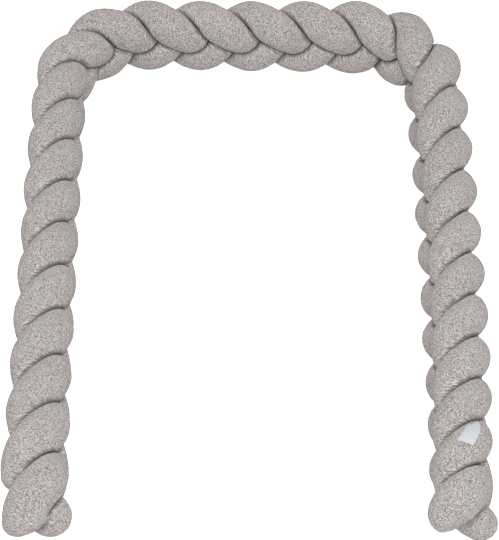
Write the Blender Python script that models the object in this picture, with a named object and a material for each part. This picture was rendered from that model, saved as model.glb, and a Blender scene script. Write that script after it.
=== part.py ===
"""Braided crib bumper: three stuffed tubes plaited into one long, soft rope.

The braid stands on its edge, as it does round the inside of a cot, and bends
into a U: a leg, a rounded corner, the bar across the head end, a second corner
and a second leg. Sizes are in metres. +Z is up, the bar lies at +Y and the open
side of the U faces -Y. A place along the braid is its distance from the free
end of the left leg, measured on the middle line.

How the shape is made:

1. middle_line is the U on the floor plan: straight runs joined by arcs.
2. strand_line lets each strand weave about the middle line. Seen end on, a
   strand of a flat plait runs round a figure of eight: it climbs over the top
   edge from the outer face to the inner one, crosses between its neighbours,
   and does the same under the bottom edge.
3. strand_skin wraps a round skin about each strand. It is pressed flat where it
   meets a neighbour, half way between the two, and where it meets the floor.
"""
import math

import bpy
import numpy as np

# The U on the floor plan, from the free end of the left leg to that of the right.
START = (-0.3848, -0.6090)  # the middle line at the left end, X and Y
HEADING = 90.4              # its direction there, degrees from +X
COURSE = (
    # length, turn to the right in degrees
    (1.034, 0.9),           # left leg
    (0.264, 90.0),          # left corner
    (0.438, 0.8),           # bar
    (0.236, 86.5),          # right corner
    (0.750, 2.9),           # right leg, bowed a little outward
    (0.293, 2.4),           # its free end
)

# The plait.
TUBE = 0.0383           # radius of a tube on the free side of the plait
CLIMB = 0.0419          # how far a strand swings up and down from the middle
WEAVE = 0.0166          # how far it swings to each side
SQUASH = 0.0050         # how far the lowest lobes are pressed flat on the floor
SEAM_GAP = 0.0034       # space kept between two strands where they touch
SOFTNESS = 0.0040       # rounding where a pressed side meets the free round
FIRST_TURN = 40.8       # degrees the first strand has turned at the left end

# Along the braid: how many lobes of the top edge have gone by, how far the top
# leans outward (degrees), and how full the tubes are.
STATIONS = (
    # share of length, lobes, lean, fullness
    (0.000, 0.00, -6.3, 1.13),
    (0.125, 3.46, -5.6, 1.06),
    (0.250, 7.01, -3.1, 0.99),
    (0.375, 10.51, -6.6, 0.99),
    (0.500, 14.08, -2.2, 0.97),
    (0.625, 17.61, 1.8, 1.04),
    (0.750, 21.09, 12.3, 0.96),
    (0.875, 24.78, 10.4, 0.99),
    (1.000, 28.72, -7.1, 1.01),
)

# The free tails of the three strands: how much longer each is than the middle
# line, how far it lies outward of and above its place in the plait, how far from
# its tip it leaves that place, its radius there, and how far its round nose
# reaches past the last full ring.
LEFT_TAILS = (
    # longer, outward, higher, reach, radius, nose
    (0.005, -0.002, -0.009, 0.073, 0.0405, 0.019),
    (-0.036, -0.050, -0.013, 0.085, 0.0389, 0.026),
    (-0.062, 0.000, -0.005, 0.070, 0.0397, 0.022),
)
RIGHT_TAILS = (
    (-0.060, 0.005, -0.005, 0.070, 0.0397, 0.022),
    (-0.024, 0.048, -0.014, 0.070, 0.0309, 0.023),
    (-0.006, -0.003, -0.008, 0.110, 0.0405, 0.028),
)

# The small folded label, caught in a seam near the end of the right leg.
LABEL_STRAND = 0        # the strand that it lies on, counted from 0
LABEL_LIFT = 0.0003     # space kept between it and the pile
LABEL_THICK = 0.0012    # both layers of the folded tape
LABEL_CORNERS = (
    # length along the braid, degrees round the strand
    (2.8725, 66.2),     # near corner, tucked into the seam
    (2.8941, 75.0),     # near corner of the fold
    (2.8886, 117.0),    # far corner of the fold
    (2.8575, 100.4),    # far corner, tucked into the seam
)

# The mesh.
RINGS = 208             # rings along a strand
CAP_RINGS = 4           # rings that close each rounded end
SIDES = 12              # points round a ring
NEAR = 0.170            # how far along a neighbour is looked at
STEP = 0.004            # between the points of a neighbour's line
LABEL_ROWS = 9          # points along each side of the label


LENGTH = sum(length for length, turn in COURSE)


def middle_line(s):
    """Places on the floor plan and the outward direction at lengths s."""
    s = np.asarray(s, float)
    x, y = np.zeros(s.shape), np.zeros(s.shape)
    heading = np.zeros(s.shape)
    here_x, here_y, facing = *START, math.radians(HEADING)
    start = 0.0
    for i, (length, turn) in enumerate(COURSE):
        d = s - start
        if i > 0:
            d = np.maximum(d, 0.0)
        if i < len(COURSE) - 1:
            d = np.minimum(d, length)
        reached = (s >= start) | (i == 0)
        curve = -math.radians(turn) / length
        angle = facing + curve * d
        if turn:
            move_x = (np.sin(angle) - math.sin(facing)) / curve
            move_y = (math.cos(facing) - np.cos(angle)) / curve
        else:
            move_x, move_y = d * math.cos(facing), d * math.sin(facing)
        x = np.where(reached, here_x + move_x, x)
        y = np.where(reached, here_y + move_y, y)
        heading = np.where(reached, angle, heading)
        end = facing + curve * length
        if turn:
            here_x += (math.sin(end) - math.sin(facing)) / curve
            here_y += (math.cos(facing) - math.cos(end)) / curve
        else:
            here_x += length * math.cos(facing)
            here_y += length * math.sin(facing)
        facing = end
        start += length
    return np.stack([x, y], -1), np.stack([-np.sin(heading), np.cos(heading)], -1)


def along(s, column):
    """A column of STATIONS at lengths s, on a smooth curve through the rows."""
    share = np.array([row[0] for row in STATIONS])
    value = np.array([row[column] for row in STATIONS])
    slope = np.gradient(value, share)
    u = np.asarray(s, float) / LENGTH
    inside = np.clip(u, share[0], share[-1])
    i = np.clip(np.searchsorted(share, inside, side="right") - 1, 0, len(share) - 2)
    width = share[i + 1] - share[i]
    t = (inside - share[i]) / width
    rise = (3 - 2 * t) * t * t
    curve = value[i] * (1 - rise) + value[i + 1] * rise
    curve += width * t * (1 - t) * (slope[i] * (1 - t) - slope[i + 1] * t)
    ends = np.where(u < share[0], slope[0], slope[-1])
    return curve + (u - inside) * ends


def strand_line(strand, s):
    """Centre line of a strand at lengths s: a figure of eight seen end on."""
    turn = 2 * math.pi * (along(s, 1) + strand) / 3 + math.radians(FIRST_TURN)
    place, outward = middle_line(s)
    lean = np.radians(along(np.clip(s, 0, LENGTH), 2))
    up = CLIMB * np.sin(turn)
    out = WEAVE * np.sin(2 * turn)
    across = out * np.cos(lean) + up * np.sin(lean)
    height = up * np.cos(lean) - out * np.sin(lean)
    for tails, from_end in ((LEFT_TAILS, s), (RIGHT_TAILS, LENGTH - s)):
        longer, outwards, higher, reach, radius, nose = tails[strand]
        loose = np.exp(-(np.maximum(from_end, 0.0) / reach) ** 2)
        across = across + outwards * loose
        height = height + higher * loose
    line = np.empty(np.shape(s) + (3,))
    line[..., :2] = place + across[..., None] * outward
    line[..., 2] = height + CLIMB + TUBE - SQUASH
    return line


def skin_points(strand, s, angle):
    """Points of a strand's skin, with the centre and the ray of each.

    s holds lengths along the braid and angle the directions round the strand,
    from its side towards its top, either one row for all lengths or one row for
    each. The result has a row for each length.
    """
    angle = np.atleast_2d(angle)[..., None]
    centre = strand_line(strand, s)
    ahead = strand_line(strand, s + 1e-4) - strand_line(strand, s - 1e-4)
    ahead /= np.linalg.norm(ahead, axis=1, keepdims=True)
    up = np.array([0.0, 0.0, 1.0]) - ahead * ahead[:, 2:3]
    up /= np.linalg.norm(up, axis=1, keepdims=True)
    side = np.cross(ahead, up)
    ray = np.cos(angle) * side[:, None, :] + np.sin(angle) * up[:, None, :]

    full = TUBE * along(np.clip(s, 0, LENGTH), 3)
    for tails, from_end in ((LEFT_TAILS, s), (RIGHT_TAILS, LENGTH - s)):
        longer, outwards, higher, reach, radius, nose = tails[strand]
        full += (radius - full) * np.exp(-(np.maximum(from_end, 0.0) / reach) ** 2)
    crowding = np.exp(-full / SOFTNESS)[:, None] * np.ones(ray.shape[:2])
    window = np.arange(-NEAR, NEAR, STEP)
    for other in {0, 1, 2} - {strand}:
        line = strand_line(other, np.clip(s[:, None] + window, *strand_tips(other)))
        towards = line - centre[:, None, :]
        far = (towards ** 2).sum(-1)[:, None, :] - SEAM_GAP ** 2
        facing = np.einsum("nsk,nwk->nsw", ray, towards) + SEAM_GAP
        reach = np.where(facing > 1e-6, far / (2 * np.maximum(facing, 1e-6)), 1.0)
        crowding += np.exp(-reach.min(-1) / SOFTNESS)
    radius = -SOFTNESS * np.log(crowding)
    return centre[:, None, :], radius[..., None] * ray, ray


def strand_ends(strand):
    """Where a strand's first and last full ring lie along the braid."""
    return -LEFT_TAILS[strand][0], LENGTH + RIGHT_TAILS[strand][0]


def strand_tips(strand):
    """Where the points of its two round noses lie."""
    first, last = strand_ends(strand)
    return first - LEFT_TAILS[strand][5], last + RIGHT_TAILS[strand][5]


def strand_skin(strand):
    """Vertices and faces of one stuffed strand."""
    (first, last), (start, end) = strand_ends(strand), strand_tips(strand)
    bend = np.linspace(0, math.pi / 2, CAP_RINGS + 2)[1:-1]
    body = np.linspace(first, last, RINGS)
    s = np.concatenate([first + (start - first) * np.cos(bend), body, last + (end - last) * np.cos(bend[::-1])])
    shrink = np.concatenate([np.sin(bend), np.ones(RINGS), np.sin(bend[::-1])])
    angle = (np.arange(SIDES) + 0.5) * 2 * math.pi / SIDES
    centre, out, ray = skin_points(strand, s, angle)
    skin = centre + out * shrink[:, None, None]
    tips = strand_line(strand, np.array([start, end]))
    vertices = np.concatenate([skin.reshape(-1, 3), tips])
    vertices[:, 2] = np.maximum(vertices[:, 2], 0.0)

    faces = []
    rings = len(s)
    for i in range(rings - 1):
        for j in range(SIDES):
            k = (j + 1) % SIDES
            faces.append((i * SIDES + j, (i + 1) * SIDES + j, (i + 1) * SIDES + k, i * SIDES + k))
    for j in range(SIDES):
        k = (j + 1) % SIDES
        faces.append((rings * SIDES, j, k))
        faces.append((rings * SIDES + 1, (rings - 1) * SIDES + k, (rings - 1) * SIDES + j))
    return vertices, faces


def label_skin():
    """Vertices and faces of the folded label, a thin patch that follows its strand."""
    near_seam, near_fold, far_fold, far_seam = np.array(LABEL_CORNERS)
    side = np.linspace(0, 1, LABEL_ROWS)
    u, v = np.repeat(side, LABEL_ROWS)[:, None], np.tile(side, LABEL_ROWS)[:, None]
    near = near_seam + (near_fold - near_seam) * u
    far = far_seam + (far_fold - far_seam) * u
    place = near + (far - near) * v
    centre, out, ray = skin_points(LABEL_STRAND, place[:, 0], np.radians(place[:, 1:]))
    under = (centre + out + LABEL_LIFT * ray)[:, 0]
    vertices = np.concatenate([under, under + LABEL_THICK * ray[:, 0]])

    faces = []
    layer = LABEL_ROWS * LABEL_ROWS
    for i in range(LABEL_ROWS - 1):
        for j in range(LABEL_ROWS - 1):
            a = i * LABEL_ROWS + j
            b, c, d = a + LABEL_ROWS, a + LABEL_ROWS + 1, a + 1
            faces.append((d, c, b, a))
            faces.append((a + layer, b + layer, c + layer, d + layer))
    last = LABEL_ROWS - 1
    rim = [(i, 0) for i in range(last)] + [(last, i) for i in range(last)]
    rim += [(last - i, last) for i in range(last)] + [(0, last - i) for i in range(last)]
    rim = [i * LABEL_ROWS + j for i, j in rim]
    for a, b in zip(rim, rim[1:] + rim[:1]):
        faces.append((a, b, b + layer, a + layer))
    return vertices, faces


def fabric(name, colour, roughness):
    """A plain cloth material."""
    material = bpy.data.materials.new(name)
    material.use_nodes = True
    shader = material.node_tree.nodes["Principled BSDF"]
    shader.inputs["Base Color"].default_value = (*colour, 1.0)
    shader.inputs["Roughness"].default_value = roughness
    shader.inputs["Metallic"].default_value = 0.0
    return material


def add_mesh(name, vertices, faces, material):
    """A smooth-shaded object made of the given points and faces."""
    mesh = bpy.data.meshes.new(name)
    mesh.from_pydata([tuple(v) for v in vertices], [], faces)
    mesh.validate()
    mesh.shade_smooth()
    mesh.set_sharp_from_angle(angle=math.radians(50))
    mesh.materials.append(material)
    piece = bpy.data.objects.new(name, mesh)
    bpy.context.collection.objects.link(piece)
    return piece


def main():
    for old in list(bpy.data.objects):
        bpy.data.objects.remove(old, do_unlink=True)
    for strand in range(3):
        colour = (0.46 + 0.01 * strand, 0.42 + 0.01 * strand, 0.39 + 0.01 * strand)
        vertices, faces = strand_skin(strand)
        add_mesh(f"strand_{strand + 1}", vertices, faces, fabric(f"pile_{strand + 1}", colour, 0.95))
    vertices, faces = label_skin()
    add_mesh("label", vertices, faces, fabric("label_tape", (0.86, 0.87, 0.89), 0.5))


main()
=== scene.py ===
# %% [markdown]
# # A braided crib bumper
# A crib bumper of this kind is one long plait of three stuffed tubes of soft
# pile cloth. It stands on its edge inside a cot, round the head end and both
# sides, so seen from above it is a U. This lesson dresses the plain solids of
# the part: it makes each tube again with a fine skin, covers it in pile, adds
# the small folded label and sets up a plain studio.

# %% Load the fixed frame
import math

import bpy
import numpy as np
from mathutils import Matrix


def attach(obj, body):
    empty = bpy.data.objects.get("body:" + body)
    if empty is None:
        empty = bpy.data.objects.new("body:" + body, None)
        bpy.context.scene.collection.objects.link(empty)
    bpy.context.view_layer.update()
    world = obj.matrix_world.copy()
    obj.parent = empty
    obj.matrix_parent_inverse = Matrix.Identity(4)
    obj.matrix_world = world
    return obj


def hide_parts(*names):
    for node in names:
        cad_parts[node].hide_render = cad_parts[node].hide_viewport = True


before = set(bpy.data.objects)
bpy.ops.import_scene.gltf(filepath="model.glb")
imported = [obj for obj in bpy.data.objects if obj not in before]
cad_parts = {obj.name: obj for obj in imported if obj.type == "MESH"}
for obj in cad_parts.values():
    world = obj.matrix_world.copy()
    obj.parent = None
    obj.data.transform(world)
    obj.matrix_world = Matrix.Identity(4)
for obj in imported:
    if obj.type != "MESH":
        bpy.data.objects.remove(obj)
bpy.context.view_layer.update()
print("nodes in the frame:", sorted(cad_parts))

# %% [markdown]
# ## The middle of the plait on the floor
# The plait could be bent by hand with a curve object, but a rule with few
# numbers is easier to measure and to change. So the middle line is a chain of
# arcs. Each row gives how long a stretch is and how far it turns to the right.

# %% The course of the middle line
START = (-0.3848, -0.6090)  # the middle line at the left end, X and Y in metres
HEADING = 90.4              # its direction there, degrees from +X
COURSE = (
    # length, turn to the right in degrees
    (1.034, 0.9),
    (0.264, 90.0),
    (0.438, 0.8),
    (0.236, 86.5),
    (0.750, 2.9),
    (0.293, 2.4),
)
LENGTH = sum(length for length, turn in COURSE)


def middle_line(s):
    """Places and outward directions at lengths s along the plait.

    On an arc of curvature k that starts with heading h, the heading after a
    length d is h + k d, and the place moves by the integral of its cosine and
    sine. Before the first arc and after the last one the arc simply goes on.
    """
    s = np.asarray(s, float)
    place, heading = np.zeros(s.shape + (2,)), np.zeros(s.shape)
    here, facing, start = np.array(START), math.radians(HEADING), 0.0
    for i, (length, turn) in enumerate(COURSE):
        d = s - start
        d = d if i == 0 else np.maximum(d, 0.0)
        d = d if i == len(COURSE) - 1 else np.minimum(d, length)
        curve = -math.radians(turn) / length
        angle = facing + curve * d
        move = np.stack([np.sin(angle) - math.sin(facing), math.cos(facing) - np.cos(angle)], -1) / curve
        reached = (s >= start) | (i == 0)
        place = np.where(reached[..., None], here + move, place)
        heading = np.where(reached, angle, heading)
        end = facing + curve * length
        here = here + np.array([math.sin(end) - math.sin(facing), math.cos(facing) - math.cos(end)]) / curve
        facing, start = end, start + length
    return place, np.stack([-np.sin(heading), np.cos(heading)], -1)


print(f"middle line: {LENGTH:.3f} m long, ends at", middle_line(LENGTH)[0].round(3))

# %% [markdown]
# ## How a strand runs in a flat plait
# Seen end on, a strand of a three-strand plait runs round a figure of eight:
# over the top edge, down between its neighbours, and under the bottom edge.
# The plait was packed by hand, so the number of lobes that have gone by, the
# lean of the top edge and the fullness of the tubes change a little along it.
# A table at nine stations with a smooth curve through them is enough for that.

# %% The stations, the tails and the centre line of a strand
TUBE = 0.0383           # radius of a tube on the free side of the plait
CLIMB = 0.0419          # how far a strand swings up and down from the middle
WEAVE = 0.0166          # how far it swings to each side
SQUASH = 0.0050         # how far the lowest lobes are pressed flat on the floor
FIRST_TURN = 40.8       # degrees the first strand has turned at the left end
STATIONS = (
    # share of length, lobes, lean, fullness
    (0.000, 0.00, -6.3, 1.13),
    (0.125, 3.46, -5.6, 1.06),
    (0.250, 7.01, -3.1, 0.99),
    (0.375, 10.51, -6.6, 0.99),
    (0.500, 14.08, -2.2, 0.97),
    (0.625, 17.61, 1.8, 1.04),
    (0.750, 21.09, 12.3, 0.96),
    (0.875, 24.78, 10.4, 0.99),
    (1.000, 28.72, -7.1, 1.01),
)
# The free tails of the three strands: how much longer each is than the middle
# line, or shorter if negative, how far it lies outward of and above its place in
# the plait, how far from its tip it leaves that place, its radius there, and the
# length of its round nose.
LEFT_TAILS = (
    # longer, outward, higher, reach, radius, nose
    (0.005, -0.002, -0.009, 0.073, 0.0405, 0.019),
    (-0.036, -0.050, -0.013, 0.085, 0.0389, 0.026),
    (-0.093, 0.030, -0.005, 0.070, 0.0397, 0.022),
)
RIGHT_TAILS = (
    (-0.068, 0.005, -0.005, 0.070, 0.0397, 0.022),
    (-0.024, 0.048, -0.014, 0.070, 0.0309, 0.023),
    (-0.006, -0.003, -0.008, 0.110, 0.0405, 0.028),
)


def along(s, column):
    """A column of STATIONS at lengths s, on a cubic curve through the rows.

    Between two rows the curve leaves and arrives with the slope that the rows
    on both sides give, so lobes and lean change without a kink.
    """
    share = np.array([row[0] for row in STATIONS])
    value = np.array([row[column] for row in STATIONS])
    slope = np.gradient(value, share)
    u = np.asarray(s, float) / LENGTH
    inside = np.clip(u, share[0], share[-1])
    i = np.clip(np.searchsorted(share, inside, side="right") - 1, 0, len(share) - 2)
    width = share[i + 1] - share[i]
    t = (inside - share[i]) / width
    rise = (3 - 2 * t) * t * t
    curve = value[i] * (1 - rise) + value[i + 1] * rise
    curve += width * t * (1 - t) * (slope[i] * (1 - t) - slope[i + 1] * t)
    return curve + (u - inside) * np.where(u < share[0], slope[0], slope[-1])


def strand_line(strand, s):
    """Centre line of a strand at lengths s.

    Its height is a sine and its side step is the sine of twice the angle,
    which draws a figure of eight. The section leans with the table. Near its
    tips a strand leaves that place, by a bell curve as wide as its reach.
    """
    turn = 2 * math.pi * (along(s, 1) + strand) / 3 + math.radians(FIRST_TURN)
    place, outward = middle_line(s)
    lean = np.radians(along(np.clip(s, 0, LENGTH), 2))
    up, out = CLIMB * np.sin(turn), WEAVE * np.sin(2 * turn)
    across = out * np.cos(lean) + up * np.sin(lean)
    height = up * np.cos(lean) - out * np.sin(lean)
    for tails, from_end in ((LEFT_TAILS, s), (RIGHT_TAILS, LENGTH - s)):
        longer, outwards, higher, reach, radius, nose = tails[strand]
        loose = np.exp(-(np.maximum(from_end, 0.0) / reach) ** 2)
        across = across + outwards * loose
        height = height + higher * loose
    flat = place + across[..., None] * outward
    return np.concatenate([flat, (height + CLIMB + TUBE - SQUASH)[..., None]], -1)


def strand_ends(strand):
    """Where a strand's first and last full ring lie along the plait."""
    return -LEFT_TAILS[strand][0], LENGTH + RIGHT_TAILS[strand][0]


def strand_tips(strand):
    """Where the points of its two round noses lie."""
    first, last = strand_ends(strand)
    return first - LEFT_TAILS[strand][5], last + RIGHT_TAILS[strand][5]


def fullness(strand, s):
    """Radius of a strand's free cloth at lengths s.

    It is the tube's radius times the table's fullness, goes over to the tail's
    own radius by a bell curve, and follows a half ellipse on the round noses.
    """
    full = TUBE * along(np.clip(s, 0, LENGTH), 3)
    for tails, from_end in ((LEFT_TAILS, s), (RIGHT_TAILS, LENGTH - s)):
        longer, outwards, higher, reach, radius, nose = tails[strand]
        full = full + (radius - full) * np.exp(-(np.maximum(from_end, 0.0) / reach) ** 2)
    (first, last), (start, end) = strand_ends(strand), strand_tips(strand)
    over = np.maximum((s - first) / (start - first), (s - last) / (end - last))
    return full * np.sqrt(1 - np.clip(over, 0.0, 1.0) ** 2)


for strand in range(3):
    print(f"full rings of strand {strand + 1} from and to:", np.round(strand_ends(strand), 3))

# %% [markdown]
# ## The pressed skin of a strand
# A stuffed tube is round where it is free and flat where it meets a neighbour
# or the floor. A cloth solver could look for that shape, but long tubes that
# press on each other everywhere are hard work for it. The seam between two
# tubes lies half way between their centre lines, or nearer to the thinner one,
# and a ray from the centre meets that surface at a length that a short formula
# gives. The smaller of that length and the tube's own radius, with a soft corner
# between them, is the skin.

# %% The skin as rays from the centre line
SEAM_GAP = 0.0008             # space kept between two strands
SOFTNESS = 0.0030             # rounding where a pressed side meets the free round
NEAR, STEP = 0.170, 0.004     # how far along a neighbour is looked at, and how finely
GRAZING = 1e-6                # a ray that faces a neighbour less than this misses it
FREE_LENGTH = 1.0             # what a ray that misses gets, far more than any radius
THINNEST = 0.1                # least radius as a share of the free one
DEEP = 0.3                    # from the lip, closeness reaches 2 after this share
TIP_EASE, TIP_REACH = 0.1, 0.08   # how much less closeness is at a tip, and how far in


def skin_points(strand, s, angle):
    """Centre, way out to the skin, ray and closeness to a seam.

    They are given at lengths s and directions angle. A ray r from the centre
    meets the seam with a neighbour's point, which lies at the vector q, at the
    length (q.q - g.g + a.a - b.b) / (2 (r.q + g)), where g is the gap that is
    kept, and a and b are the radii of the tube and of its neighbour. The skin
    lies at the soft minimum of the shortest such length c and of a, which is
    -w log(exp(-a / w) + exp(-c / w)) for a softness w.

    Closeness is 0 where c is more than twice a, 1 where the two are equal,
    which is the lip of the seam, and grows to 2 deep inside it. The pile paints
    shade into the seams from it. It is a little less at the tips, which only
    lean on each other, so they get less of that painted shade.
    """
    angle = np.atleast_2d(angle)[..., None]
    centre = strand_line(strand, s)
    ahead = strand_line(strand, s + 1e-4) - strand_line(strand, s - 1e-4)
    ahead /= np.linalg.norm(ahead, axis=1, keepdims=True)
    up = np.array([0.0, 0.0, 1.0]) - ahead * ahead[:, 2:3]
    up /= np.linalg.norm(up, axis=1, keepdims=True)
    side = np.cross(ahead, up)
    ray = np.cos(angle) * side[:, None, :] + np.sin(angle) * up[:, None, :]
    full = fullness(strand, s)
    tightest = np.full(ray.shape[:2], FREE_LENGTH)
    window = np.arange(-NEAR, NEAR, STEP)
    for other in {0, 1, 2} - {strand}:
        place = np.clip(s[:, None] + window, *strand_tips(other))
        towards = strand_line(other, place) - centre[:, None, :]
        far = (towards ** 2).sum(-1) - SEAM_GAP ** 2 + full[:, None] ** 2 - fullness(other, place) ** 2
        facing = ray @ towards.transpose(0, 2, 1) + SEAM_GAP
        reach = far[:, None, :] / (2 * np.maximum(facing, GRAZING))
        reach = np.where(facing > GRAZING, reach, FREE_LENGTH)
        tightest = np.clip(reach.min(-1), 0.0, tightest)
    crowding = np.exp(-full / SOFTNESS)[:, None] + np.exp(-tightest / SOFTNESS)
    radius = np.maximum(-SOFTNESS * np.log(crowding), THINNEST * full[:, None])
    share = tightest / full[:, None]
    closeness = np.clip(2.0 - share, 0.0, 1.0) + np.clip((1.0 - share) / DEEP, 0.0, 1.0)
    to_tip = np.minimum(s - strand_tips(strand)[0], strand_tips(strand)[1] - s)
    closeness *= 1 - TIP_EASE * np.exp(-(np.maximum(to_tip, 0.0)[:, None] / TIP_REACH) ** 2)
    return centre[:, None, :], radius[..., None] * ray, ray, closeness


sample = skin_points(0, np.array([LENGTH / 2]), np.radians([0.0, 90.0]))
print("closeness to a seam at the side and at the top of a strand:", sample[3].round(2))

# %% [markdown]
# ## Unevenness
# No hand fills a tube evenly, so the skin needs broad lumps, and the pile
# itself is a crumb of small curls. Blender's own textures can move a mesh, but
# a small noise written with numpy gives the same numbers on every machine. It
# hashes the corners of a grid of cells and blends between them.

# %% Noise on points in space
HASH = (374761393, 668265263, 2147483647)   # odd multipliers for X, Y and Z
SEED_STEP, SCRAMBLE = 1442695041, 1274126177


def noise(points, cell, seed):
    """Smooth noise from -1 to 1 at an array of points, with features as big as cell.

    Each corner of the cell round a point gets a number from an integer hash.
    The eight numbers are mixed by the point's place in the cell, eased at both
    ends so that no cell edge shows.
    """
    grid = points / cell
    low = np.floor(grid).astype(np.int64)
    t = grid - low
    t = t * t * (3 - 2 * t)
    total = np.zeros(points.shape[:-1])
    for corner in np.ndindex(2, 2, 2):
        key = (low + corner) @ np.array(HASH) + seed * SEED_STEP
        key = (key ^ (key >> 13)) * SCRAMBLE & 0xFFFFFFFF
        key = (key ^ (key >> 16)) & 0xFFFF
        weight = np.prod(np.where(np.array(corner) == 1, t, 1 - t), axis=-1)
        total += weight * (key / 32767.5 - 1)
    return total


print("noise on a line:", noise(np.outer(np.arange(5), [0.01, 0.0, 0.0]), 0.02, 3).round(2))

# %% [markdown]
# ## The fine skin
# The grid has a ring about every 3 mm and a point about every 3 mm round the
# tube, so that the curls of the pile can stand proud of the cloth and the
# outline is a little rough, as it is on the real thing. The tips are closed by
# gathering the cloth, which leaves a dimple with small pleats round it.

# %% Rings, rounded tips, lumps and curls
RINGS, SIDES, CAP_RINGS = 1290, 72, 18      # rings, points in a ring, rings on a nose
PLEATS, PLEAT_DEPTH = 11, 0.0005            # how many round a nose, how deep
PLEAT_DRIFT = 1.3                           # radians that they stray from even steps
PLEAT_AT, PLEAT_SPREAD = 0.5, 0.28          # radians from the pole of a nose
DIMPLE, DIMPLE_SPREAD = 0.0028, 0.30        # depth in metres, spread in radians
LUMPS = (
    # height, size, seed
    (0.0010, 0.055, 11),
    (0.0006, 0.023, 21),
)
CURLS = (
    # height, size, seed
    (0.00025, 0.0065, 31),
    (0.00035, 0.0042, 41),
)
CALM_FROM, CALMEST = 1.5, 0.15              # relief fades where the cloth is pressed


def grid_normals(points):
    """Outward normals on a grid of rings, from the steps along and round it."""
    ahead = np.gradient(points, axis=0)
    around = np.roll(points, -1, axis=1) - np.roll(points, 1, axis=1)
    normal = np.cross(ahead, around)
    return normal / np.maximum(np.linalg.norm(normal, axis=-1, keepdims=True), 1e-12)


def relief(points, table, other_seed=0):
    """The sum of the noises of a table, each times its height."""
    return sum(height * noise(points, cell, seed + other_seed) for height, cell, seed in table)


def strand_skin(strand):
    """Grid of skin points, the two poles and the closeness to a seam of one strand.

    On the round noses the rings stand at equal steps of the angle from the
    pole, so they are closest where the cloth turns in. Pleats are a cosine
    round the ring, strongest a third of the way from the pole to the rim. The
    dimple is a bell about the pole. Lumps and curls go along the normals.
    """
    (first, last), (start, end) = strand_ends(strand), strand_tips(strand)
    bend = np.linspace(0, math.pi / 2, CAP_RINGS + 2)[1:-1]
    body = np.linspace(first, last, RINGS)
    near_cap = first + (start - first) * np.cos(bend)
    far_cap = last + (end - last) * np.cos(bend[::-1])
    s = np.concatenate([near_cap, body, far_cap])
    angle = (np.arange(SIDES) + 0.5) * 2 * math.pi / SIDES
    centre, out, ray, closeness = skin_points(strand, s, angle)
    gathered = np.exp(-((bend - PLEAT_AT) / PLEAT_SPREAD) ** 2)
    pleat = np.concatenate([gathered, np.zeros(RINGS), gathered[::-1]])
    phase = PLEATS * angle + PLEAT_DRIFT * np.sin(3 * angle + strand)
    ripple = PLEAT_DEPTH * pleat[:, None] * np.cos(phase)
    skin = centre + out + ray * ripple[..., None]

    poles = strand_line(strand, np.array([start, end]))
    inward = strand_line(strand, np.array([first, last])) - poles
    inward /= np.linalg.norm(inward, axis=1, keepdims=True)
    sink = DIMPLE * np.exp(-(bend / DIMPLE_SPREAD) ** 2)
    skin[:CAP_RINGS] += sink[:, None, None] * inward[0]
    skin[-CAP_RINGS:] += sink[::-1, None, None] * inward[1]
    poles += DIMPLE * inward

    lumps, curls = relief(skin, LUMPS, strand), relief(skin, CURLS)
    free = np.clip(CALM_FROM - closeness, CALMEST, 1.0)
    skin += grid_normals(skin) * ((lumps + curls) * free)[..., None]
    skin[..., 2] = np.maximum(skin[..., 2], 0.0)
    return skin, poles, closeness


print("rings and points in a ring on one strand:", RINGS + 2 * CAP_RINGS, SIDES)

# %% [markdown]
# ## From a grid to a mesh
# Blender could build a tube from a curve with a bevel, but that has the same
# section everywhere. So the grid itself becomes four-sided faces, and a fan of
# triangles closes each tip. Two maps go with it: lengths along and round the
# cloth in metres, which the pile needs to know which way it is combed, and the
# closeness to a seam.

# %% Build one mesh from whole arrays
CLOTH_STEP = 0.0029     # cloth between two points of a ring, as the map counts it


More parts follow.
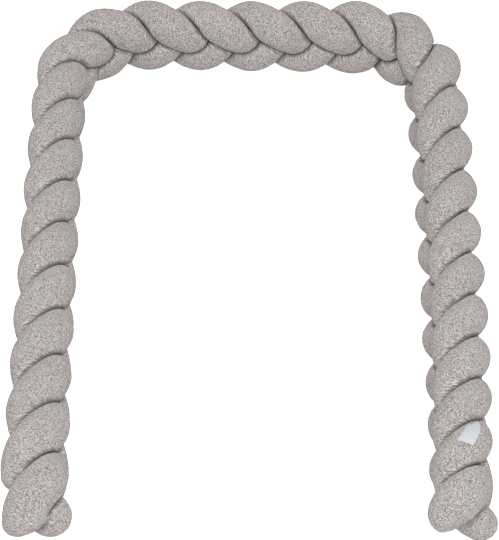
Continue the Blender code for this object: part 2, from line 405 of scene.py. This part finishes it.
def strand_mesh(name, skin, poles, closeness):
    """A closed mesh from a grid of rings, with the maps cloth and seam.

    The map cloth counts metres along the middles of the rings, and a fixed step
    of cloth from each point of a ring to the next.
    """
    rings, sides = skin.shape[:2]
    i, j = np.meshgrid(np.arange(rings - 1), np.arange(sides), indexing="ij")
    k = (j + 1) % sides
    quads = np.stack([i * sides + j, (i + 1) * sides + j, (i + 1) * sides + k, i * sides + k], -1)
    quads = quads.reshape(-1, 4)
    step = np.linalg.norm(np.diff(skin.mean(1), axis=0), axis=1)
    far = np.concatenate([[0.0], np.cumsum(step)])
    maps = np.stack([
        np.stack([far[i], j * CLOTH_STEP], -1),
        np.stack([far[i + 1], j * CLOTH_STEP], -1),
        np.stack([far[i + 1], (j + 1) * CLOTH_STEP], -1),
        np.stack([far[i], (j + 1) * CLOTH_STEP], -1),
    ], 2).reshape(-1, 2)
    ring = np.arange(sides)
    start, end = rings * sides, rings * sides + 1
    first = np.stack([np.full(sides, start), ring, (ring + 1) % sides], -1)
    base = (rings - 1) * sides
    final = np.stack([np.full(sides, end), base + (ring + 1) % sides, base + ring], -1)
    fans = np.concatenate([first, final])
    fan_far = np.repeat([0.0, far[-1]], sides * 3)
    fan_maps = np.stack([fan_far, np.tile(np.repeat(ring * CLOTH_STEP, 3), 2)], -1)

    mesh = bpy.data.meshes.new(name)
    points = np.concatenate([skin.reshape(-1, 3), poles])
    mesh.vertices.add(len(points))
    mesh.vertices.foreach_set("co", points.astype(np.float32).ravel())
    corners = np.concatenate([quads.ravel(), fans.ravel()])
    mesh.loops.add(len(corners))
    mesh.loops.foreach_set("vertex_index", corners.astype(np.int32))
    starts = np.concatenate([np.arange(len(quads)) * 4, len(quads) * 4 + np.arange(len(fans)) * 3])
    mesh.polygons.add(len(starts))
    mesh.polygons.foreach_set("loop_start", starts.astype(np.int32))
    cloth = mesh.uv_layers.new(name="cloth")
    cloth.data.foreach_set("uv", np.concatenate([maps, fan_maps]).astype(np.float32).ravel())
    # The map seam carries the closeness, from which the pile paints shade into the seams.
    share = mesh.attributes.new("seam", "FLOAT", "POINT")
    share.data.foreach_set("value", np.concatenate([closeness.ravel(), [0.0, 0.0]]).astype(np.float32))
    mesh.update(calc_edges=True)
    mesh.validate()
    mesh.shade_smooth()
    piece = bpy.data.objects.new(name, mesh)
    bpy.context.collection.objects.link(piece)
    return piece


# %% [markdown]
# ## Nodes from a script
# A material can be drawn by hand in the shader editor. Made in a script it comes
# out the same each time, but every node takes several lines, so a few helpers
# keep what follows short.


# %% Small helpers for node trees
def put(tree, kind, place, **settings):
    """A new node with some of its settings."""
    node = tree.nodes.new(kind)
    node.location = place
    for key, value in settings.items():
        setattr(node, key, value)
    return node


def feed(tree, socket, value):
    """Give an input socket a number, or link an output socket to it."""
    if isinstance(value, bpy.types.NodeSocket):
        tree.links.new(value, socket)
    else:
        socket.default_value = value


def math_node(tree, operation, first, second, place):
    """A Math node. Each of first and second is a number or a socket."""
    node = put(tree, "ShaderNodeMath", place, operation=operation)
    feed(tree, node.inputs[0], first)
    feed(tree, node.inputs[1], second)
    return node.outputs[0]


def span(tree, value, low, high, to_low, to_high, place):
    """A Map Range node that takes low..high to to_low..to_high and stops there."""
    node = put(tree, "ShaderNodeMapRange", place)
    for socket, number in zip(node.inputs, (value, low, high, to_low, to_high)):
        feed(tree, socket, number)
    return node.outputs[0]


def blend_colour(tree, share, first, second, place, kind="MIX"):
    """A Mix node for two colours."""
    node = put(tree, "ShaderNodeMix", place, data_type="RGBA", blend_type=kind)
    feed(tree, node.inputs[0], share)
    feed(tree, node.inputs[6], first)
    feed(tree, node.inputs[7], second)
    return node.outputs[2]


# %% [markdown]
# ## Looped pile
# The cloth is a knitted ground with thousands of small curled loops. Their
# colour follows their height, darker between the curls and lighter at their
# tips, partly the pile's own mottled tone and partly painted shade and painted
# highlight. Where the cloth turns into a seam the curls lie down and look combed,
# and the seam gets painted shade. Hair strands could make every loop, but three
# metres of plait would need a great many.
# One node group makes the colour and the height of such a pile instead, so that
# the three strands share it and differ only in tone.

# %% The node group for the pile
GROUP_NUMBERS = (
    # input, value
    ("Curls per metre", 360.0),
    ("Tint per metre", 14.0),
    ("Seam shade", 0.42),
)
WANDER_PER_METRE, WANDER = 260.0, 0.0030    # pushes the curls out of line
CURL_TOP, CURL_FALL = 1.02, 0.9             # height at a curl's middle, and its fall
FRAY_FINER, FRAY_HEIGHT = 1.43, 1.5         # frayed loops against whole curls
COMB_PER_METRE = (430.0, 85.0, 1.0)         # streaks along and round the tube
MIDDLE = 0.5                                # height that has the plain pile colour
# Each of these takes a range of its first value to a range of its second.
STREAKS = (0.32, 0.68, 0.05, 1.0)           # comb noise, height
LAID = (0.30, 0.95, 0.0, 0.75)              # closeness, share of combed pile
SEAM_SHADE_DROP = (0.75, 1.05, 0.0, 0.33)              # closeness, how far the colour drops: painted shade near a seam
INSIDE = (0.90, 1.12, 0.0, 1.0)             # closeness, share of the painted seam shade
LOW_HALF = (0.15, MIDDLE, 0.0, 1.0)         # height, from valley to plain pile
HIGH_HALF = (MIDDLE, 0.85, 0.0, 1.0)        # height, from plain pile to tip
PATCHES = (0.42, 0.72, 0.0, 1.0)            # tint noise, share of the warm tint


def pile_group():
    """Colour and height of looped pile.

    Curls are the distance to scattered points, which gives round tops with low
    valleys between them. A finer noise frays them. The colour follows the
    height, darker in the valleys and lighter on the tops, partly the pile's own
    mottled tone and partly painted shade and painted highlight. A noise that is
    drawn out round the tube takes over near a seam, where the pile is combed.
    There the colour also drops towards the valley colour, a painted shade, so
    that only the tops of its streaks stay light. Deeper in the seam more painted
    shade is mixed in.
    """
    tree = bpy.data.node_groups.new("looped pile", "ShaderNodeTree")
    face = tree.interface
    for name, value in GROUP_NUMBERS:
        face.new_socket(name=name, in_out="INPUT", socket_type="NodeSocketFloat").default_value = value
    for name in ("Valley", "Pile", "Tip", "Warm"):
        face.new_socket(name=name, in_out="INPUT", socket_type="NodeSocketColor")
    face.new_socket(name="Colour", in_out="OUTPUT", socket_type="NodeSocketColor")
    face.new_socket(name="Height", in_out="OUTPUT", socket_type="NodeSocketFloat")
    given = put(tree, "NodeGroupInput", (-1600, 0))
    result = put(tree, "NodeGroupOutput", (1200, 0))
    place = put(tree, "ShaderNodeTexCoord", (-1600, 300)).outputs["Object"]
    cloth = put(tree, "ShaderNodeUVMap", (-1600, 500), uv_map="cloth").outputs["UV"]
    seam = put(tree, "ShaderNodeAttribute", (-1600, -400), attribute_name="seam").outputs["Fac"]
    per_metre = given.outputs["Curls per metre"]

    wander = put(tree, "ShaderNodeTexNoise", (-1350, 500), noise_dimensions="3D")
    feed(tree, wander.inputs["Vector"], place)
    feed(tree, wander.inputs["Scale"], WANDER_PER_METRE)
    feed(tree, wander.inputs["Detail"], 1.0)
    push = put(tree, "ShaderNodeVectorMath", (-1150, 500), operation="MULTIPLY_ADD")
    feed(tree, push.inputs[0], wander.outputs["Color"])
    push.inputs[1].default_value = (WANDER, WANDER, WANDER)
    feed(tree, push.inputs[2], place)

    curl = put(tree, "ShaderNodeTexVoronoi", (-900, 450), feature="F1", distance="EUCLIDEAN")
    feed(tree, curl.inputs["Vector"], push.outputs[0])
    feed(tree, curl.inputs["Scale"], per_metre)
    fray = put(tree, "ShaderNodeTexNoise", (-900, 200), noise_dimensions="3D")
    feed(tree, fray.inputs["Vector"], push.outputs[0])
    feed(tree, fray.inputs["Scale"], math_node(tree, "MULTIPLY", per_metre, FRAY_FINER, (-1100, 200)))
    feed(tree, fray.inputs["Detail"], 2.0)
    feed(tree, fray.inputs["Roughness"], 0.6)
    even = math_node(tree, "SUBTRACT", fray.outputs["Fac"], MIDDLE, (-700, 200))
    frayed = math_node(tree, "MULTIPLY", even, FRAY_HEIGHT, (-600, 200))
    fall = math_node(tree, "MULTIPLY", curl.outputs["Distance"], CURL_FALL, (-700, 450))
    round_top = math_node(tree, "SUBTRACT", CURL_TOP, fall, (-550, 400))
    crumb = math_node(tree, "ADD", round_top, frayed, (-350, 350))

    drawn = put(tree, "ShaderNodeMapping", (-1350, -150))
    feed(tree, drawn.inputs["Vector"], cloth)
    drawn.inputs["Scale"].default_value = COMB_PER_METRE
    comb = put(tree, "ShaderNodeTexNoise", (-900, -150), noise_dimensions="2D")
    feed(tree, comb.inputs["Vector"], drawn.outputs[0])
    feed(tree, comb.inputs["Scale"], 1.0)
    feed(tree, comb.inputs["Detail"], 2.0)
    streak = span(tree, comb.outputs["Fac"], *STREAKS, (-700, -150))

    laid = span(tree, seam, *LAID, (-700, -400))
    # Painted shade: near a seam the colour ramp drops, so only the tops of the streaks stay light. The
    # height itself does not change.
    shade_drop = span(tree, seam, *SEAM_SHADE_DROP, (50, -400))
    mixed = put(tree, "ShaderNodeMix", (-150, 150), data_type="FLOAT")
    feed(tree, mixed.inputs[0], laid)
    feed(tree, mixed.inputs[2], crumb)
    feed(tree, mixed.inputs[3], streak)
    height = mixed.outputs[0]

    centred = math_node(tree, "SUBTRACT", height, MIDDLE, (50, 0))
    lower = math_node(tree, "SUBTRACT", MIDDLE, shade_drop, (200, -200))
    shaded_height = math_node(tree, "ADD", centred, lower, (350, 0))
    # The colour follows the height, from the valley colour low down to the tip colour on top: partly the
    # pile's own tone, partly painted shade and painted highlight.
    over_valley = span(tree, shaded_height, *LOW_HALF, (500, -150))
    low = blend_colour(tree, over_valley, given.outputs["Valley"], given.outputs["Pile"], (650, 250))
    over_pile = span(tree, shaded_height, *HIGH_HALF, (500, -400))
    high = blend_colour(tree, over_pile, low, given.outputs["Tip"], (800, 250))

    blotch = put(tree, "ShaderNodeTexNoise", (200, -650), noise_dimensions="3D")
    feed(tree, blotch.inputs["Vector"], place)
    feed(tree, blotch.inputs["Scale"], given.outputs["Tint per metre"])
    feed(tree, blotch.inputs["Detail"], 5.0)
    patch = span(tree, blotch.outputs["Fac"], *PATCHES, (400, -650))
    warm = blend_colour(tree, patch, high, given.outputs["Warm"], (950, 250), kind="MULTIPLY")

    # Painted shade deep in the seam: the colour is mixed towards the valley colour.
    inside = span(tree, seam, *INSIDE, (650, -400))
    deep = math_node(tree, "MULTIPLY", inside, given.outputs["Seam shade"], (800, -400))
    dark = blend_colour(tree, deep, warm, given.outputs["Valley"], (1050, 100))
    feed(tree, result.inputs["Colour"], dark)
    feed(tree, result.inputs["Height"], height)
    return tree


PILE = pile_group()
print("pile group takes:", [item.name for item in PILE.interface.items_tree if item.in_out == "INPUT"])

# %% [markdown]
# ## The finish of each strand
# All three tubes are cut from one cloth, so they share their colours but for a
# very small change of tone. Pile scatters light back at a glancing angle, and
# the sheen of the shader does that. Its values stay on the shader itself.

# %% Pile materials
TONES = (1.0, 0.985, 1.015)     # one for each strand
# The valley and tip colours are partly painted shade and painted highlight on the curls. The valley colour
# is also the colour of the painted seam shade.
VALLEY = (0.240, 0.222, 0.212, 1.0)
GROUND = (0.436, 0.401, 0.384, 1.0)
TIPS = (0.790, 0.748, 0.728, 1.0)
WARM = (1.0, 0.965, 0.960, 1.0)


def pile_finish(name, tone):
    """Looped pile with a tone that multiplies its colours."""
    material = bpy.data.materials.new(name)
    material.use_nodes = True
    tree = material.node_tree
    shader = tree.nodes["Principled BSDF"]
    group = put(tree, "ShaderNodeGroup", (-500, 0), node_tree=PILE)
    for socket, colour in (("Valley", VALLEY), ("Pile", GROUND), ("Tip", TIPS)):
        group.inputs[socket].default_value = tuple(c * tone for c in colour[:3]) + (1.0,)
    group.inputs["Warm"].default_value = WARM
    bump = put(tree, "ShaderNodeBump", (-250, -200))
    bump.inputs["Strength"].default_value = 0.9
    bump.inputs["Distance"].default_value = 0.0022
    tree.links.new(group.outputs["Colour"], shader.inputs["Base Color"])
    tree.links.new(group.outputs["Height"], bump.inputs["Height"])
    tree.links.new(bump.outputs["Normal"], shader.inputs["Normal"])
    shader.inputs["Roughness"].default_value = 0.95
    shader.inputs["Specular IOR Level"].default_value = 0.15
    shader.inputs["Sheen Weight"].default_value = 0.30
    shader.inputs["Sheen Roughness"].default_value = 0.5
    shader.inputs["Sheen Tint"].default_value = (1.0, 0.97, 0.95, 1.0)
    return material


# %% [markdown]
# ## Three stuffed tubes
# Each tube was sewn, filled and closed by itself before it was plaited. So each
# is a piece of its own here too: it stands for its plain solid, rides on the
# same body and gets a pile finish of its own. One loop makes all three, because
# they differ only in where they run and in their tone.

# %% Make the three strands
for strand in range(3):
    skin, poles, closeness = strand_skin(strand)
    piece = strand_mesh(f"stuffed_strand_{strand + 1}", skin, poles, closeness)
    piece.data.materials.append(pile_finish(f"pile cloth {strand + 1}", TONES[strand]))
    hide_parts(f"strand_{strand + 1}")
    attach(piece, "root")
    low, high = skin.min((0, 1)).round(3), skin.max((0, 1)).round(3)
    print(piece.name, len(piece.data.polygons), "faces, from", low, "to", high)

# %% [markdown]
# ## The folded label
# A short piece of white satin tape is folded in half and caught in a seam near
# the end of one leg. Two flat plates would show an open edge at the fold. It is
# one strip of cloth, so it is made as one: a profile that runs out along the
# pile, turns over and comes back. It is left bare.

# %% The tape's two layers and its fold
LABEL_STRAND = 0                        # the strand that it lies on
LABEL_CORNERS = (
    # length along the plait, degrees round the strand
    (2.8725, 66.2),
    (2.8941, 75.0),
    (2.8886, 117.0),
    (2.8575, 100.4),
)
LIFT, LAYERS = 0.0012, 0.0009           # height over the skin, and between the layers
PINCH = 0.35                            # share of that height left at the seam
BOW = 0.0006                            # how far the layers arch between their edges
FOLD_OUT = 0.012                        # how far the fold stands out, of the length
ROWS, COLUMNS, FOLD_STEPS = 25, 29, 9   # points across, along a layer, round the fold


def tape_points(rows, columns):
    """Two layers of tape on the pile, joined by a round fold.

    The profile runs out to the fold and back. Its height over the skin follows
    a half circle at the fold, and an arch is added to it: the sine of half a
    turn on the way out, times the sine of half a turn on the way across.
    """
    near_seam, near_fold, far_fold, far_seam = np.array(LABEL_CORNERS)
    out = np.linspace(0, 1, columns)
    turn = np.linspace(-math.pi / 2, math.pi / 2, FOLD_STEPS)[1:-1]
    share = np.concatenate([out, 1 + FOLD_OUT * np.cos(turn), out[::-1]])
    rise = np.concatenate([np.zeros(columns), 0.5 + 0.5 * np.sin(turn), np.ones(columns)])
    u, v = np.tile(share, rows)[:, None], np.repeat(np.linspace(0, 1, rows), len(share))[:, None]
    near = near_seam + (near_fold - near_seam) * u
    far = far_seam + (far_fold - far_seam) * u
    place = near + (far - near) * v
    centre, skin, ray, closeness = skin_points(LABEL_STRAND, place[:, 0], np.radians(place[:, 1:]))
    outward = np.clip(u, 0, 1)
    bow = BOW * np.sin(math.pi * outward) * np.sin(math.pi * v)
    lift = LIFT + LAYERS * np.tile(rise, rows)[:, None] * (PINCH + (1 - PINCH) * outward) + bow
    return (centre + skin + ray * lift[..., None])[:, 0].reshape(rows, len(share), 3)


tape = tape_points(ROWS, COLUMNS)
run = np.concatenate([[0.0], np.cumsum(np.linalg.norm(np.diff(tape[ROWS // 2], axis=0), axis=1))])
across = tape.shape[1]
width = float(np.linalg.norm(np.diff(tape[:, across // 2], axis=0), axis=1).sum())
print(f"tape: {width * 1000:.0f} mm wide at its middle, {run[-1] * 1000:.0f} mm long before folding")


# %% [markdown]
# ## Satin
# The tape is woven so that smooth threads lie on top, which gives fine ribs
# and a soft gloss. A wave texture on the tape's own map draws the ribs, so that
# they follow it round the fold, and a weak noise keeps the white from being flat.


# %% The finish of the tape
def satin_finish():
    """White satin tape: fine ribs, a soft gloss and a faint cloudiness."""
    material = bpy.data.materials.new("white satin tape")
    material.use_nodes = True
    tree = material.node_tree
    shader = tree.nodes["Principled BSDF"]
    tape = put(tree, "ShaderNodeUVMap", (-900, 0), uv_map="tape").outputs["UV"]
    ribs = put(tree, "ShaderNodeTexWave", (-650, -200), wave_type="BANDS", bands_direction="Y")
    tree.links.new(tape, ribs.inputs["Vector"])
    ribs.inputs["Scale"].default_value = 320.0
    ribs.inputs["Distortion"].default_value = 0.6
    cloud = put(tree, "ShaderNodeTexNoise", (-650, 150))
    tree.links.new(tape, cloud.inputs["Vector"])
    cloud.inputs["Scale"].default_value = 140.0
    tone = put(tree, "ShaderNodeMix", (-300, 150), data_type="RGBA")
    tree.links.new(cloud.outputs["Fac"], tone.inputs[0])
    tone.inputs[6].default_value = (0.56, 0.58, 0.62, 1.0)
    tone.inputs[7].default_value = (0.68, 0.69, 0.73, 1.0)
    bump = put(tree, "ShaderNodeBump", (-300, -200))
    bump.inputs["Strength"].default_value = 0.35
    bump.inputs["Distance"].default_value = 0.0002
    tree.links.new(ribs.outputs["Fac"], bump.inputs["Height"])
    tree.links.new(tone.outputs[2], shader.inputs["Base Color"])
    tree.links.new(bump.outputs["Normal"], shader.inputs["Normal"])
    shader.inputs["Roughness"].default_value = 0.42
    shader.inputs["Sheen Weight"].default_value = 0.2
    return material


# %% [markdown]
# ## The label as a piece
# The grid of points becomes one sheet of faces with its map in metres. The cloth
# gets its thickness from a Solidify modifier, half to each side.

# %% Sew the label in
TAPE = 0.00030                          # thickness of the tape

i, j = np.meshgrid(np.arange(ROWS - 1), np.arange(across - 1), indexing="ij")
corner = i * across + j
quads = np.stack([corner, corner + 1, corner + across + 1, corner + across], -1).reshape(-1, 4)
mesh = bpy.data.meshes.new("folded_label")
mesh.from_pydata(tape.reshape(-1, 3).tolist(), [], quads.tolist())
layer = mesh.uv_layers.new(name="tape")
flat = np.stack([run[quads % across], quads // across * width / (ROWS - 1)], -1)
layer.data.foreach_set("uv", flat.astype(np.float32).ravel())
mesh.shade_smooth()
mesh.materials.append(satin_finish())
label = bpy.data.objects.new("folded_label", mesh)
bpy.context.collection.objects.link(label)
wall = label.modifiers.new("tape", "SOLIDIFY")
wall.thickness = TAPE
wall.offset = 0.0
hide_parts("label")
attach(label, "root")
print(label.name, len(mesh.polygons), "faces before it gets its thickness")

# %% [markdown]
# ## Studio
# The bumper stands on a plain pale table. The ground of a catalogue picture is
# made pure white and free of shade, and a table that simply shone would do that
# too, but it would light the undersides of the lobes. So this one glows only for
# the rays that come straight from the camera, and its glow lights nothing. A
# large lamp high in front and an even sky give broad, soft light.

# %% Floor and light
FLOOR = 30.0                    # half its side, in metres
GLOW, SKY = 0.90, 0.47          # strengths of the floor's glow and of the sky
LAMP_PLACE = (0.3, -2.5, 5.3)
LAMP_SIZE, LAMP_POWER = 3.4, 254.0

floor_mesh = bpy.data.meshes.new("floor")
floor_mesh.from_pydata([(-FLOOR, -FLOOR, 0), (FLOOR, -FLOOR, 0), (FLOOR, FLOOR, 0), (-FLOOR, FLOOR, 0)],
                       [], [(0, 1, 2, 3)])
pale = bpy.data.materials.new("pale table")
pale.use_nodes = True
shader = pale.node_tree.nodes["Principled BSDF"]
shader.inputs["Base Color"].default_value = (0.86, 0.86, 0.86, 1.0)
shader.inputs["Roughness"].default_value = 0.9
shader.inputs["Emission Color"].default_value = (1.0, 1.0, 1.0, 1.0)
seen = put(pale.node_tree, "ShaderNodeLightPath", (-600, -200)).outputs["Is Camera Ray"]
feed(pale.node_tree, shader.inputs["Emission Strength"],
     span(pale.node_tree, seen, 0.0, 1.0, 0.0, GLOW, (-350, -200)))
floor_mesh.materials.append(pale)
floor = bpy.data.objects.new("floor", floor_mesh)
bpy.context.collection.objects.link(floor)

sky = bpy.data.worlds.new("even sky")
sky.use_nodes = True
sky.node_tree.nodes["Background"].inputs["Color"].default_value = (1.0, 1.0, 1.0, 1.0)
sky.node_tree.nodes["Background"].inputs["Strength"].default_value = SKY
bpy.context.scene.world = sky

light = bpy.data.lights.new("key lamp", "AREA")
light.shape = "SQUARE"
light.size = LAMP_SIZE
light.energy = LAMP_POWER
lamp = bpy.data.objects.new("key lamp", light)
bpy.context.collection.objects.link(lamp)
lamp.location = LAMP_PLACE
# A lamp shines down its own -Z, so it is tilted from straight down and then
# panned until it faces the middle of the floor.
away = np.array(LAMP_PLACE)
tilt, pan = math.acos(away[2] / np.linalg.norm(away)), math.atan2(away[0], -away[1])
lamp.rotation_euler = (tilt, 0.0, pan)
bpy.context.scene.view_settings.view_transform = "Standard"
print(f"lamp: {LAMP_SIZE} m wide, {np.linalg.norm(away):.1f} m away, {LAMP_POWER:.0f} W")

# %% [markdown]
# ## The camera
# The photograph was taken from in front of the open side, from high above and
# from some way off, so the legs hardly converge. The angle, the distance and
# the length of the lens can't be told apart by eye, so they were fitted
# together, until the outline of the bumper lay where the photograph has it.

# %% Place the camera
ELEVATION = 51.21                   # degrees down from level
TARGET = (0.0006, -0.0377, 0.083)   # the point in the middle of the picture
DISTANCE = 4.827                    # from there to the lens
SENSOR = 36.0                       # mm on the long side of the picture
FOCAL_PX, LONG_SIDE_PX = 2528.7, 540
camera = bpy.data.objects.new("camera", bpy.data.cameras.new("camera"))
bpy.context.collection.objects.link(camera)
rise = math.radians(ELEVATION)
x, y, z = TARGET
camera.location = (x, y - DISTANCE * math.cos(rise), z + DISTANCE * math.sin(rise))
camera.rotation_euler = (math.pi / 2 - rise, 0.0, 0.0)
camera.data.sensor_width = SENSOR
camera.data.lens = FOCAL_PX * SENSOR / LONG_SIDE_PX
camera.data.clip_end = 100.0
bpy.context.scene.camera = camera
print(f"camera: {camera.data.lens:.0f} mm lens, {DISTANCE:.2f} m away")
